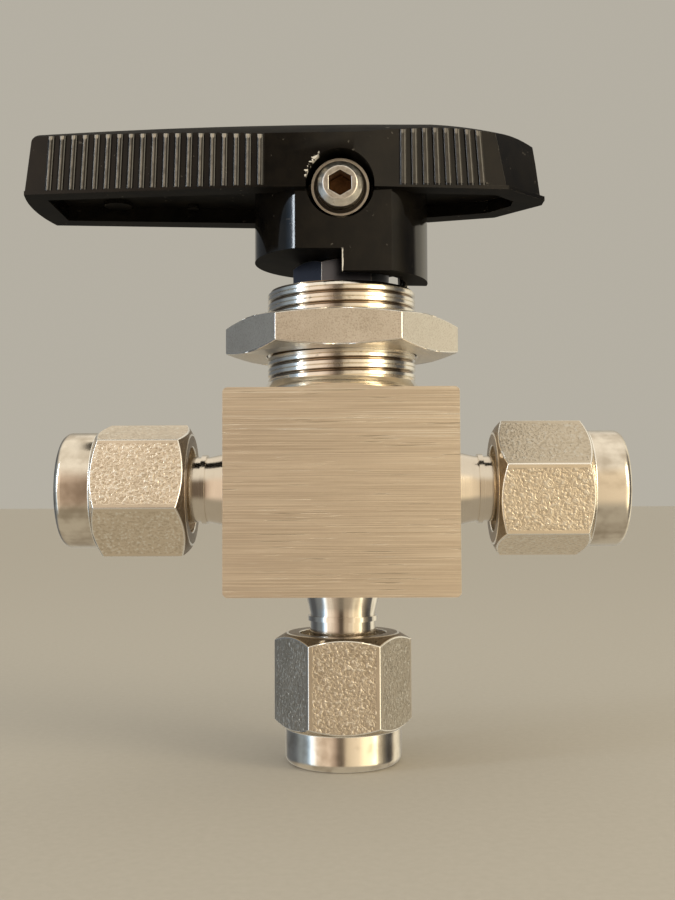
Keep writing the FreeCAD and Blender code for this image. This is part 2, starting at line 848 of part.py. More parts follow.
def cut_ends(body, name, inset, draft):
    """Cuts the bulging left end and, inset, the blunt point. Both lean inwards by the draft."""
    ends = new_sketch(body, "XY", "rim_height", name + "Outline")
    half = "(grip_left_width / 2 + overcut)"
    corner = f"-(grip_left - grip_left_round + sqrt(grip_left_round ^ 2 - {half} ^ 2))"
    outline(ends, [
        (corner, half, "grip_left_round"),
        (corner, f"-{half}"),
        ("-(left_width_at + overcut)", f"-{half}"),
        ("-(left_width_at + overcut)", half),
    ])
    shoulder, tip = f"(grip_right - {inset} - nose_length)", f"(grip_right - {inset})"
    outline(ends, [
        (shoulder, "-nose_width / 2"),
        (tip, "-point_width / 2"),
        (tip, "point_width / 2"),
        (shoulder, "nose_width / 2"),
        ("right_width_at + overcut", "nose_width / 2"),
        ("right_width_at + overcut", "-nose_width / 2"),
    ])
    grow(body, "Pocket", ends, name, Length="crown_height - rim_height", Reversed=True,
         TaperAngle=draft)


def make_rim():
    """The rim stands out a little along the foot of both walls and round the point."""
    body = new_body("rim")
    pad_plan(body, "Rim", "0", "(rim_height + wall)")
    cut_ends(body, "RimEnds", "0", "0")
    side = new_sketch(body, "XZ", name="RimSide")
    far_left, far_right = "-(left_width_at + overcut)", "(right_width_at + overcut)"
    above = "(rim_height + wall + overcut)"
    outline(side, [
        (far_left, "rim_top_left"),
        ("0", "rim_top_middle"),
        (far_right, "rim_top_right"),
        (far_right, above),
        (far_left, above),
    ])
    outline(side, [
        ("0", "rim_height"),
        ("0", "rim_height - overcut"),
        (far_right, "rim_height - overcut"),
        (far_right, f"rim_height + rim_lift * {far_right} / grip_right"),
    ])
    grow(body, "Pocket", side, "RimCut", ThroughAll=True, Midplane=True)
    return body


def make_grip():
    """The grip stands within the rim, with drafted ends and a top arched both ways."""
    body = new_body("grip")
    pad_plan(body, "Grip", "rim_lip", "crown_height")
    cut_ends(body, "GripEnds", "rim_lip", "end_draft")
    blend(body, "Fillet", make_crown(body), is_left_end_top, "EndRound", Radius="end_round")
    make_nose(body)
    return body


def crown_section(body, name, bend, start="0"):
    """What lies above the crown's arc across the grip, at a distance of bend from its axis."""
    section = new_sketch(body, "YZ", start, name)
    bind(section, AttachmentOffset__Base__y=f"crown_height - {bend}")
    half = "(hub_width / 2 + overcut)"
    foot = f"{bend} - crown_radius + sqrt(crown_radius ^ 2 - {half} ^ 2)"
    outline(section, [
        (f"-{half}", foot, "-crown_radius"),
        (half, foot),
        (half, f"{bend} + overcut"),
        (f"-{half}", f"{bend} + overcut"),
    ])
    return section


def make_crown(body):
    """The top is arched across the grip and bends slowly lengthwise, and faster over the point."""
    crown = crown_section(body, "CrownSection", "crown_bend")
    grow(body, "Groove", crown, "CrownCut", axis="H_Axis", Midplane=True, Angle="crown_sweep")
    nose = crown_section(body, "NoseSection", "nose_bend", "nose_bend_start")
    return grow(body, "Groove", nose, "NoseTopCut", axis="H_Axis", Angle="nose_sweep")


def is_left_end_top(edge):
    """Whether an edge is the long one between the grip's left end and its crown."""
    middle = edge.CenterOfMass
    near_end = middle.x < -number("recess_left") and middle.z > number("rim_height + wall")
    return near_end and edge.Length > number("grip_left_width / 2")


def make_nose(body):
    """The point's tip leans back, and its foot rises with the rim towards the tip."""
    side = new_sketch(body, "XZ", name="NoseSide")
    far, above, below = "(right_width_at + overcut)", "(crown_height + overcut)", "(rim_height - overcut)"
    outline(side, [
        ("grip_right - nose_lean", above),
        ("grip_right - nose_lean", "crown_height - nose_lip"),
        ("grip_right - rim_lip", "rim_top_right"),
        ("grip_right - rim_lip", "rim_height + rim_lift + foot_lift"),
        ("0", "rim_height"),
        ("0", below),
        (far, below),
        (far, above),
    ])
    grow(body, "Pocket", side, "NoseCut", ThroughAll=True, Midplane=True)


def grip_half_width(x, side):
    """Expression for the half width of the grip's plan at x, on the left or the right arm."""
    far, far_width, near = {
        "left": ("(-left_width_at)", "grip_left_width", "(-wide_left)"),
        "right": ("right_width_at", "grip_right_width", "wide_right"),
    }[side]
    share = f"(({x}) - {near}) / ({far} - {near})"
    return f"((hub_width + ({far_width} - hub_width) * {share}) / 2)"


def make_recesses(body):
    """Shallow recesses under both arms, round at the hub, with two ejector pads in the left one."""
    plan = new_sketch(body, "XY", "rim_height", "RecessPlan")
    left_end = f"({grip_half_width('-recess_left', 'left')} - wall)"
    left_foot = f"({grip_half_width('-recess_hub', 'left')} - wall)"
    left_corner = f"-sqrt(hub_radius ^ 2 - {left_foot} ^ 2)"
    outline(plan, [
        ("-recess_left", f"-{left_end}"),
        (left_corner, f"-{left_foot}", "-hub_radius"),
        (left_corner, left_foot),
        ("-recess_left", left_end),
    ])
    shoulder = "(grip_right - nose_length + wall / 2)"
    right_foot = f"({grip_half_width('recess_hub', 'right')} - wall)"
    right_corner = f"sqrt(hub_radius ^ 2 - {right_foot} ^ 2)"
    right_end = f"({grip_half_width(shoulder, 'right')} - wall)"
    outline(plan, [
        (right_corner, f"-{right_foot}"),
        (shoulder, f"-{right_end}"),
        ("recess_right", "-point_width / 2"),
        ("recess_right", "point_width / 2"),
        (shoulder, right_end),
        (right_corner, right_foot, "-hub_radius"),
    ])
    grow(body, "Pocket", plan, "Recesses", Length="recess_depth", Reversed=True)
    pads = new_sketch(body, "XY", "rim_height + recess_depth", "EjectorPads")
    circle(pads, "-large_pad_at", "large_pad_back", "large_pad_radius")
    circle(pads, "-small_pad_at", "small_pad_back", "small_pad_radius")
    grow(body, "Pad", pads, "PadsInRecess", Length="pad_drop", Reversed=True)


def rib_rods():
    """Upright rods along both walls of each arm. They lean towards the hub, the far ones most."""
    rods = []
    for side, sign, turn in (("left", "-", 1), ("right", "", -1)):
        rise = "rim_lift / grip_right" if side == "right" else "0"
        for rib in range(int(number(side + "_ribs"))):
            reach = f"({side}_ribs_start + {rib} * {side}_rib_pitch)"
            half = grip_half_width(sign + reach, side)
            slope = number(grip_half_width(f"{sign}{reach} + 1", side)) - number(half)
            lean = turn * number(f"{side}_fan * ({reach} - {side}_fan_start)")
            for wall, face in (("front", "-"), ("back", "")):
                rod = primitive("Cylinder", f"{side}_{wall}_rod_{rib}", Radius="rib_radius",
                                Height="crown_height - rim_height", x=sign + reach,
                                y=f"{face}({half} - rib_radius - rib_sink)",
                                z=f"rim_height + foot_lift + {reach} * {rise}")
                across = Vector(slope if face else -slope, 1, 0)
                rod.Placement.Rotation = Rotation(across, lean)
                rods.append(rod)
    return union("rib_rods", *rods)


def make_ribs():
    """The ribs are the rods, trimmed to the rim's outline and to the crown."""
    envelope = new_body("rib_envelope")
    pad_plan(envelope, "Envelope", "0", "crown_height")
    make_crown(envelope)
    return combine("Common", "ribs", rib_rods(), envelope)


def make_hub(body):
    """The round hub with a flat for the screw, a skirt below and the notch for the stop pins."""
    section = new_sketch(body, "XY", "hub_foot", "HubSection")
    half_flat = "acos(hub_flat / hub_radius)"
    near, far = (f"(270 deg + hub_flat_turn * 1 deg {sign} {half_flat})" for sign in "+-")
    outline(section, [
        (f"hub_radius * cos({near})", f"hub_radius * sin({near})", "hub_radius"),
        ("0", "hub_radius", "hub_radius"),
        (f"hub_radius * cos({far})", f"hub_radius * sin({far})"),
    ])
    grow(body, "Pad", section, "Hub", Length="rim_height - hub_foot + wall")
    skirt = new_sketch(body, "XY", "hub_foot", "SkirtBore")
    circle(skirt, "0", "0", "skirt_bore")
    grow(body, "Pocket", skirt, "Skirt", Length="skirt_depth", Reversed=True)
    notch = new_sketch(body, "XY", "hub_foot", "NotchPlan")
    reach = "(hub_radius + overcut)"
    start, end = "(skirt_start + skirt_angle)", "(skirt_start + 360)"
    middle = f"(({start} + {end}) / 2)"
    rim = [(f"{reach} * cos({angle} * 1 deg)", f"{reach} * sin({angle} * 1 deg)")
           for angle in (start, middle, end)]
    outline(notch, [("0", "0"), (*rim[0], reach), (*rim[1], reach), rim[2]])
    grow(body, "Pocket", notch, "Notch", Length="skirt_depth", Reversed=True)


def make_handle():
    """The moulded handle, with the metal insert's seat inside the hub."""
    body = new_body("handle")
    body.BaseFeature = combine("MultiFuse", "grip_with_ribs", make_grip(), make_rim(), make_ribs())
    doc.recompute()
    make_hub(body)
    make_recesses(body)
    core = new_sketch(body, "XZ", name="InsertSeat")
    bore = "(stem_radius + web_bore_gap)"
    outline(core, [
        ("0", "hub_foot + skirt_depth"),
        (bore, "hub_foot + skirt_depth"),
        (bore, "insert_foot"),
        ("insert_radius", "insert_foot"),
        ("insert_radius", "insert_top"),
        ("0", "insert_top"),
    ])
    grow(body, "Groove", core, "InsertCore")
    hole = new_sketch(body, "XZ", "screw_hole_floor", "ScrewHole")
    circle(hole, "0", "screw_height", "screw_hole_radius")
    grow(body, "Pocket", hole, "ScrewAccess", Length="hub_width", Reversed=True)
    return body


def make_insert():
    """The steel insert: a sleeve round the stem with a threaded boss for the set screw."""
    body = turned("handle_insert", [
        ("stem_radius + stem_gap / 2", "insert_foot"),
        ("insert_radius", "insert_foot"),
        ("insert_radius", "insert_top"),
        ("0", "insert_top"),
        ("0", "stem_top + fit_gap"),
        ("stem_radius + stem_gap / 2", "stem_top + fit_gap"),
    ])
    boss = new_sketch(body, "XZ", "stem_radius + wall / 2", "BossSection")
    circle(boss, "0", "screw_height", "insert_boss_radius")
    grow(body, "Pad", boss, "Boss", Length="insert_boss_end - stem_radius - wall / 2")
    thread = new_sketch(body, "XZ", "0", "ScrewBore")
    circle(thread, "0", "screw_height", "screw_radius + fit_gap")
    grow(body, "Pocket", thread, "ScrewThread", Length="insert_boss_end", Reversed=True)
    return body


def make_set_screw():
    """Socket set screw, turned about Z and then laid along Y with its tip on the stem's flat."""
    length = "(screw_end - stem_radius + stem_flat_depth)"
    body = turned("set_screw", [
        ("0", "0"),
        ("screw_radius - screw_chamfer", "0"),
        ("screw_radius", "screw_chamfer"),
        ("screw_radius", f"{length} - screw_chamfer"),
        ("screw_radius - screw_chamfer", length),
        ("0", length),
    ])
    socket = new_sketch(body, "XY", length, "SocketSection")
    hexagon(socket, "socket_across_flats", "90")
    grow(body, "Pocket", socket, "Socket", Length="socket_depth")
    body.Placement = Placement(Vector(0, 0, 0), Rotation(Vector(1, 0, 0), 90))
    bind(body, Placement__Base__y="-(stem_radius - stem_flat_depth)", Placement__Base__z="screw_height")
    return body


def make_all():
    pieces = [make_valve_body(), make_ball_stem()]
    pieces += make_stop_pins()
    pieces += make_packing()
    pieces += make_side_rings_and_discs()
    pieces += make_bushing_and_gland()
    pieces += make_springs()
    pieces.append(make_packing_bolt())
    pieces += [make_handle(), make_insert(), make_set_screw(), make_panel_nut()]
    for side in PORTS:
        pieces.append(make_tube_nut(side))
        pieces += make_ferrules(side)
    return pieces


def check(pieces):
    """Stops on a failed feature or a solid that isn't whole."""
    doc.recompute()
    for item in doc.Objects:
        if {"Invalid", "Error"} & set(item.State):
            raise RuntimeError(f"{item.Label} failed: {item.State}")
    for piece in pieces:
        shape = piece.Shape
        if shape.isNull() or not shape.isValid() or len(shape.Solids) != 1:
            raise RuntimeError(f"{piece.Label} has {len(shape.Solids)} solids, valid {shape.isValid()}")


def write(pieces):
    os.makedirs("parts", exist_ok=True)
    for piece in pieces:
        piece.Shape.exportStep(f"parts/{piece.Label}.step")
        print(f"{piece.Label}: {piece.Shape.Volume:.2f} mm3")


all_pieces = make_all()
check(all_pieces)
write(all_pieces)
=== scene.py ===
"""Small panel-mount three-way ball valve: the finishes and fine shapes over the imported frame.

The stem axis is Z, the run ports lie along X and the set screw faces -Y. Sizes are in
millimetres and turn into metres through MM.
"""
import json
import math

import bmesh
import bpy
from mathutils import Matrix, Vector


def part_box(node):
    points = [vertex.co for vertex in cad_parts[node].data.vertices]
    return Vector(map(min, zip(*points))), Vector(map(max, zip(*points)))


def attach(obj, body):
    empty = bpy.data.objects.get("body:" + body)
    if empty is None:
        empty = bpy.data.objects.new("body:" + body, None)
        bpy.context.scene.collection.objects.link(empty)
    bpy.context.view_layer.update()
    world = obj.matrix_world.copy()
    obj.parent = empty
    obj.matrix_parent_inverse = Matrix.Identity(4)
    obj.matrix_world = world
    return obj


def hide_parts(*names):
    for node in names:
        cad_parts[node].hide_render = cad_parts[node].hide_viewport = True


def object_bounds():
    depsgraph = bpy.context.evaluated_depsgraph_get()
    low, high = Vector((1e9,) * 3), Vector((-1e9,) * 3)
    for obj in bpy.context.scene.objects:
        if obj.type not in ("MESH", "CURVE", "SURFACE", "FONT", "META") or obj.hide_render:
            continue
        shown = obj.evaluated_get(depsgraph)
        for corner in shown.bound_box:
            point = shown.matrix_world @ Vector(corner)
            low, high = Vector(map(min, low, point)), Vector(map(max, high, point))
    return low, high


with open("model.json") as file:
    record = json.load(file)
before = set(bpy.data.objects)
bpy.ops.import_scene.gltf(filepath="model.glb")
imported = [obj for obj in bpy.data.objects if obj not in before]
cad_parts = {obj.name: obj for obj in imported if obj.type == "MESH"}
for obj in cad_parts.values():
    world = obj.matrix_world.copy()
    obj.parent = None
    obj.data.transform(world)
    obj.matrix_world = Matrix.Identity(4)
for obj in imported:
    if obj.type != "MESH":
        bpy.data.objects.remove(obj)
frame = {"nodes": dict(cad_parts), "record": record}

MM = 0.001
cad_low, cad_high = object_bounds()
nodes = frame["nodes"]
mounts = {mount["name"]: mount for mount in frame["record"]["mounts"]}


# ---------------------------------------------------------------- camera
# The photograph was taken by hand from a little over 100 mm, level with the side ports.
# The lens length is for a sensor whose long side, 36 mm, spans the picture's height.
camera_place = Vector((1.08, -106.51, -11.0)) * MM
camera_pitch, camera_roll, camera_heading = 2.457, 0.249, 0.822
camera_data = bpy.data.cameras.new("camera")
camera_data.lens = 45.34
camera_data.clip_start = 1 * MM
camera = bpy.data.objects.new("camera", camera_data)
camera.location = camera_place
camera.rotation_euler = [math.radians(angle) for angle in (90 + camera_pitch, camera_roll, camera_heading)]
bpy.context.scene.collection.objects.link(camera)
bpy.context.scene.camera = camera
bpy.context.scene.view_settings.view_transform = "Standard"


# ---------------------------------------------------------------- studio
# A plain pale room with a bright ceiling. Seen from the valve there is a narrow cool window on
# the left, a broad warm light on the right and a dark shape in between, where the photograph
# was taken from. The floor stays out of reflections, because the real valve was held up.
class Value:
    """A socket of a node tree. Arithmetic on it adds the Math nodes."""

    def __init__(self, nodes, socket):
        self.nodes, self.socket = nodes, socket

    def math(self, operation, *others):
        return self.nodes.node("Math", {"operation": operation}, enumerate((self, *others)))

    def __add__(self, other):
        return self.math("ADD", other)

    def __sub__(self, other):
        return self.math("SUBTRACT", other)

    def __rsub__(self, other):
        return self.math("MULTIPLY_ADD", -1, other)

    def __mul__(self, other):
        return self.math("MULTIPLY", other)

    __radd__, __rmul__ = __add__, __mul__


class Nodes:
    """A node tree and the one method that makes its nodes."""

    def __init__(self, tree):
        self.tree = tree

    def feed(self, socket, value):
        if isinstance(value, Value):
            self.tree.links.new(value.socket, socket)
        else:
            socket.default_value = value

    def node(self, kind, settings=(), inputs=(), output=0):
        made = self.tree.nodes.new("ShaderNode" + kind)
        settings = dict(settings)
        for place, colour in settings.pop("stops", ()):
            ramp = made.color_ramp.elements
            stop = ramp[0] if place == 0 else ramp[-1] if place == 1 else ramp.new(place)
            stop.color = colour
        for name, value in settings.items():
            setattr(made, name, value)
        for name, value in inputs if not isinstance(inputs, dict) else inputs.items():
            self.feed(made.inputs[name], value)
        return Value(self, made.outputs[output])

    def mix(self, share, first, second):
        """Blends two colours: inputs 6 and 7 and output 2 are the Mix node's colours."""
        return self.node("Mix", {"data_type": "RGBA"}, {0: share, 6: first, 7: second}, 2)

    def step(self, value, low, high):
        """Rises smoothly from 0 at low to 1 at high."""
        return self.node("MapRange", {"interpolation_type": "SMOOTHSTEP"},
                         {"Value": value, "From Min": low, "From Max": high})

    def parts(self, vector):
        """The three numbers of a vector."""
        split = self.node("SeparateXYZ", (), {0: vector})
        return [Value(self, split.socket.node.outputs[i]) for i in range(3)]


room_pale, room_above, room_below = (0.46, 0.43, 0.365, 1), (0.98, 0.91, 0.79, 1), (0.45, 0.40, 0.315, 1)
cool_light, warm_light = (0.86, 0.93, 1.0), (1.0, 0.87, 0.68)
# By bearing round the valve: 0.25 is the left, 0.5 the camera's side and 0.75 the right.
room_colours = (
    (0.0, room_pale), (0.055, room_pale), (0.08, (0.22, 0.22, 0.21, 1)), (0.12, (0.14, 0.15, 0.16, 1)),
    (0.20, (0.13, 0.145, 0.165, 1)), (0.235, (0.26, 0.30, 0.33, 1)), (0.285, (0.30, 0.36, 0.42, 1)),
    (0.305, (0.5, 0.72, 1.0, 1)), (0.322, (1.7, 2.0, 2.3, 1)), (0.338, (1.6, 1.6, 1.55, 1)),
    (0.352, (0.98, 0.83, 0.68, 1)), (0.42, (1.0, 0.82, 0.66, 1)), (0.455, (0.50, 0.38, 0.29, 1)),
    (0.475, (0.15, 0.115, 0.085, 1)), (0.50, (0.15, 0.115, 0.085, 1)), (0.52, (0.75, 0.62, 0.45, 1)),
    (0.59, (1.05, 0.88, 0.65, 1)), (0.61, (1.5, 1.27, 0.87, 1)), (0.66, (1.7, 1.45, 1.0, 1)),
    (0.672, (2.8, 2.5, 1.75, 1)), (0.69, (2.8, 2.5, 1.8, 1)), (0.703, (0.75, 0.65, 0.49, 1)),
    (0.74, (0.24, 0.21, 0.16, 1)), (0.765, (0.10, 0.095, 0.09, 1)), (0.81, (0.10, 0.095, 0.09, 1)),
    (0.83, (0.94, 0.86, 0.69, 1)), (0.89, (0.86, 0.79, 0.63, 1)), (0.945, room_pale), (1.0, room_pale))
world = bpy.data.worlds.new("room")
bpy.context.scene.world = world
world.use_nodes = True
room = Nodes(world.node_tree)
across, along, up = room.parts(room.node("TexCoord", output="Generated"))
bearing = across.math("ARCTAN2", along * -1) * (1 / math.tau) + 0.5
around = room.node("ValToRGB", {"stops": room_colours}, {0: bearing})
lit = room.mix(room.step(up, 0.35, 0.75), around, room_above)
lit = room.mix(room.step(up * -1, 0.32, 0.65), lit, room_below)
seen = room.node("LightPath", output="Is Camera Ray")
room.feed(world.node_tree.nodes["Background"].inputs["Color"], room.mix(seen, lit, room_pale))


def add_softbox(name, place, width, height, power, colour):
    """An area lamp, aimed at the middle of the valve."""
    lamp = bpy.data.lights.new(name, "AREA")
    lamp.shape, lamp.size, lamp.size_y = "RECTANGLE", width * MM, height * MM
    lamp.energy, lamp.color = power, colour
    box = bpy.data.objects.new(name, lamp)
    box.location = Vector(place) * MM
    aim = (cad_low + cad_high) / 2 - box.location
    box.rotation_euler = aim.to_track_quat("-Z", "Y").to_euler()
    bpy.context.scene.collection.objects.link(box)


add_softbox("left_window", (-216, -97, 70), 6, 180, 0.10, cool_light)
add_softbox("right_lamp", (190, -135, 70), 90, 130, 0.16, warm_light)

floor_mesh = bpy.data.meshes.new("floor")
reach = 3.0
floor_mesh.from_pydata([(x * reach, y * reach, 0) for x, y in ((-1, -1), (1, -1), (1, 1), (-1, 1))],
                       [], [(0, 1, 2, 3)])
floor = bpy.data.objects.new("floor", floor_mesh)
floor.location.z = cad_low.z
bpy.context.scene.collection.objects.link(floor)
floor.visible_glossy = False


class Finish(Nodes):
    """A material on a Principled shader. Constants are set on the shader's own sockets."""

    def __init__(self, name, constants):
        self.material = bpy.data.materials.new(name)
        self.material.use_nodes = True
        super().__init__(self.material.node_tree)
        self.shader = self.tree.nodes["Principled BSDF"]
        self.point = self.node("TexCoord", output="Object")
        self.x, self.y, self.z = self.parts(self.point)
        for socket, value in constants.items():
            self.shader.inputs[socket].default_value = value

    def show(self, **inputs):
        """Feeds the shader: Base_Color=..., Roughness=..., Bump=(height, millimetres)."""
        for name, value in inputs.items():
            if name == "Bump":
                height, depth = value
                value = self.node("Bump", (), {"Height": height, "Distance": depth * MM, "Strength": 1.0})
                name = "Normal"
            self.feed(self.shader.inputs[name.replace("_", " ")], value)

    def noise(self, grain, detail=3.0, roughness=0.55, warp=0.0):
        """Noise whose grain is one length, or one for each axis, in millimetres."""
        grain = grain if hasattr(grain, "__len__") else (grain, grain, grain)
        stretch = [1 / (length * MM) for length in grain]
        place = self.node("VectorMath", {"operation": "MULTIPLY"}, {0: self.point, 1: stretch})
        return self.node("TexNoise", (), {"Vector": place, "Scale": 1.0, "Detail": detail,
                                          "Roughness": roughness, "Distortion": warp})

    def cover(self, share, **inputs):
        """Lays a second skin of the given inputs over the first where share is 1."""
        inputs = {name.replace("_", " "): value for name, value in inputs.items()}
        skin = self.node("BsdfPrincipled", (), inputs)
        both = self.node("MixShader", (), {0: share, 1: Value(self, self.shader.outputs[0]), 2: skin})
        self.feed(self.tree.nodes["Material Output"].inputs["Surface"], both)

    def facing(self):
        """The three numbers of the direction that the surface faces."""
        return self.parts(self.node("TexCoord", output="Normal"))


floor_finish = Finish("floor_paper", {"Roughness": 0.85})
fibre = floor_finish.noise(0.7, 4)
floor_finish.show(Base_Color=floor_finish.mix(fibre, (0.42, 0.395, 0.34, 1), (0.48, 0.455, 0.40, 1)))
floor_mesh.materials.append(floor_finish.material)


# ---------------------------------------------------------------- valve body
# One stainless block, ground along the run on its flat faces, with a turned neck and three
# turned fitting ends. The threads are rolled on the neck and behind each tube nut.
block_half_width, block_half_depth, block_height, neck_bore = 10.4, 7.6, 18.4, 6.2
shoulder = mounts["panel_seat"]["pos_m"][2] / MM
port_level = mounts["right_port"]["pos_m"][2] / MM
neck_crest, neck_root, neck_pitch = 6.95, 6.66, 1.0
neck_foot, neck_top = 0.0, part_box("valve_body")[1].z / MM
spigot_crest, spigot_root, spigot_pitch = 3.9, 3.5, 1.27
spigot_length = 5.2
steel_pale, steel_mid, steel_dark = (0.87, 0.76, 0.61, 1), (0.66, 0.57, 0.445, 1), (0.17, 0.14, 0.10, 1)
steel_bright, steel_glint = (0.86, 0.82, 0.75, 1), (0.98, 0.94, 0.86, 1)


def make_ground_steel():
    """Steel ground on a belt: fine scores along the run, on the end faces along the depth."""
    finish = Finish("ground_steel", {"Metallic": 1.0})
    fine = finish.noise((13, 2.5, 0.08), 2, 0.6)
    lines = finish.noise((26, 4, 0.17), 2, 0.6)
    broad = finish.noise((16, 5, 0.9), 2)
    plain_below, bright_above = -8.2, -5.2
    high = finish.step(finish.z, plain_below * MM, bright_above * MM)
    scores = finish.step(finish.noise((7, 2, 0.12), 1.5), 0.66, 0.73)
    glints = finish.step(finish.noise((18, 2, 0.11), 1.5, warp=0.1), 0.61, 0.68) * (0.3 + high * 0.7)
    tone = fine * 0.55 + lines * 0.35 + broad * 0.1
    ground_dark, ground_pale, scored = (0.72, 0.61, 0.475, 1), (0.88, 0.765, 0.61, 1), (0.36, 0.27, 0.17, 1)
    colour = finish.mix(finish.step(tone, 0.40, 0.60), ground_dark, ground_pale)
    colour = finish.mix(scores * 0.55, colour, scored)
    colour = finish.mix(glints * 0.75, colour, (1.0, 0.93, 0.80, 1))
    finish.show(Base_Color=colour, Roughness=0.36 + broad * 0.10, Bump=(fine + lines * 0.5 - scores, 0.024))
    return finish.material


def make_turned_steel(name, axis, roughness=0.10, colours=(steel_mid, steel_bright), reflection_streaks=0.0):
    """Steel turned on a lathe: faint rings across the piece's axis, X, Y or Z, and, as far as asked, dark
    and bright streaks along it that are painted reflections.
    """
    finish = Finish(name, {"Metallic": 1.0})
    grain = [14, 14, 14]
    grain["XYZ".index(axis)] = 0.10
    rings = finish.noise(grain, 2)
    smudge = finish.noise(2.2, 3, 0.5)
    along = [1.5, 1.5, 1.5]
    along["XYZ".index(axis)] = 30
    # Painted reflections: dark and bright streaks along the axis.
    streaks = finish.step(finish.noise(along, 2, 0.6), 0.38, 0.60)
    tone = 0.55 + smudge * 0.4 + rings * 0.1
    colour = finish.mix(tone * (1 - reflection_streaks) + streaks * reflection_streaks, *colours)
    finish.show(Base_Color=colour, Roughness=roughness + smudge * 0.05 + rings * 0.05, Bump=(rings, 0.0025))
    return finish.material


def distance_from_line(first, second):
    """How far a point lies from an axis, from its two offsets."""
    return (first * first + second * second).math("SQRT")


def make_thread_steel():
    """The neck's thread: crests bright and roots painted darker as shade, with dirt in patches over it."""
    finish = Finish("panel_thread_steel", {"Metallic": 1.0})
    # Painted shade: darker from crest down to root.
    depth = finish.step(distance_from_line(finish.x, finish.y), neck_root * MM, (neck_crest - 0.12) * MM)
    dirt = finish.noise(0.5, 3)
    colour = finish.mix(depth, (0.30, 0.23, 0.16, 1), steel_bright)
    colour = finish.mix(finish.step(dirt, 0.60, 0.72) * 0.3, colour, steel_dark)
    finish.show(Base_Color=colour, Roughness=0.12 + dirt * 0.08, Bump=(dirt, 0.006))
    return finish.material


def new_piece(name, mesh, body):
    """A mesh object that rides on a body."""
    piece = bpy.data.objects.new(name, mesh)
    bpy.context.scene.collection.objects.link(piece)
    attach(piece, body)
    return piece


def ease_edges(piece, radius, edge_finish=None, segments=2, clamped=True):
    """Welds a piece's facets and rounds its corners by a fine radius, in a finish of their own if given."""
    weld = piece.modifiers.new("weld", "WELD")
    weld.merge_threshold = 1e-6
    flats = piece.modifiers.new("flats", "DECIMATE")
    flats.decimate_type, flats.angle_limit = "DISSOLVE", math.radians(0.4)
    rounds = piece.modifiers.new("rounds", "BEVEL")
    rounds.width, rounds.segments = radius * MM, segments
    rounds.limit_method, rounds.angle_limit = "ANGLE", math.radians(28)
    rounds.harden_normals, rounds.use_clamp_overlap = True, clamped
    for layer in ("custom_normal", "sharp_edge", "sharp_face"):
        if layer in piece.data.attributes:
            piece.data.attributes.remove(piece.data.attributes[layer])
    for face in piece.data.polygons:
        face.use_smooth = True
    if edge_finish:
        piece.data.materials.append(edge_finish)
        rounds.material = len(piece.data.materials) - 1


def make_thread(name, foot, top, root, crest, pitch, to_frame):
    """A rolled thread as a sleeve of rows that climb round the axis, faded out at both ends.
    The profile says where along one pitch a row lies and how far up from root to crest. Rolling
    leaves a fine seam along the middle of the crest."""
    steps, run_out = 120, 1.2
    profile = ((0.05, 0), (0.18, 1), (0.44, 1), (0.50, 0.55), (0.56, 1), (0.82, 1), (0.95, 0))
    turns = int((top - foot) / pitch) + 2
    rows = [(turn + share, rise) for turn in range(-1, turns) for share, rise in profile]
    verts = []
    for share, rise in rows:
        for step in range(steps + 1):
            level = foot + pitch * (share + step / steps)
            level = min(max(level, foot), top)
            room_left = min(level - foot, top - level) * run_out
            radius = root + min(rise * (crest - root), max(room_left, 0))
            angle = math.tau * step / steps
            verts.append(to_frame(radius * math.cos(angle), radius * math.sin(angle), level) * MM)
    faces = []
    for row in range(len(rows) - 1):
        for step in range(steps):
            corner = row * (steps + 1) + step
            faces.append((corner, corner + 1, corner + steps + 2, corner + steps + 1))
    mesh = bpy.data.meshes.new(name)
    mesh.from_pydata(verts, [], faces)
    shape = bmesh.new()
    shape.from_mesh(mesh)
    bmesh.ops.remove_doubles(shape, verts=shape.verts, dist=1e-6)
    bmesh.ops.dissolve_degenerate(shape, edges=shape.edges, dist=1e-7)
    bmesh.ops.recalc_face_normals(shape, faces=shape.faces)
    shape.to_mesh(mesh)
    shape.free()
    for face in mesh.polygons:
        face.use_smooth = True
    mesh.set_sharp_from_angle(angle=math.radians(35))
    return mesh


def sink_threads(shape):
    """Moves the body's plain thread cylinders in to the root, so that the real threads cover them."""
    for vert in shape.verts:
        x, y, z = vert.co / MM
        rise = z - port_level
        if z > neck_foot - 0.01 and neck_root < math.hypot(x, y) < neck_crest + 0.1:
            if math.hypot(x, y) > neck_crest - 0.01 or z > neck_top - 0.1:
                vert.co.xy *= (neck_root - 0.02) / math.hypot(x, y)
        elif abs(x) > block_half_width and spigot_root < math.hypot(y, rise) < spigot_crest + 0.1:
            pull = (spigot_root - 0.02) / math.hypot(y, rise)
            vert.co.y, vert.co.z = y * pull * MM, (port_level + rise * pull) * MM
        elif z < shoulder - block_height and spigot_root < math.hypot(x, y) < spigot_crest + 0.1:
            vert.co.xy *= (spigot_root - 0.02) / math.hypot(x, y)


def finish_of_face(face):
    """0 for the ground block, 1 for the run's turned ends, 2 for what is turned about the stem
    and 3 for the neck."""
    x, y, z = face.calc_center_median() / MM
    if abs(x) > block_half_width + 0.02:
        return 1
    inside = math.hypot(x, y) < neck_bore and (z > shoulder - 0.4 or abs(y) < block_half_depth - 0.1)
    if z < shoulder - block_height - 0.02 or inside:
        return 2
    return 3 if z > shoulder + 0.001 else 0


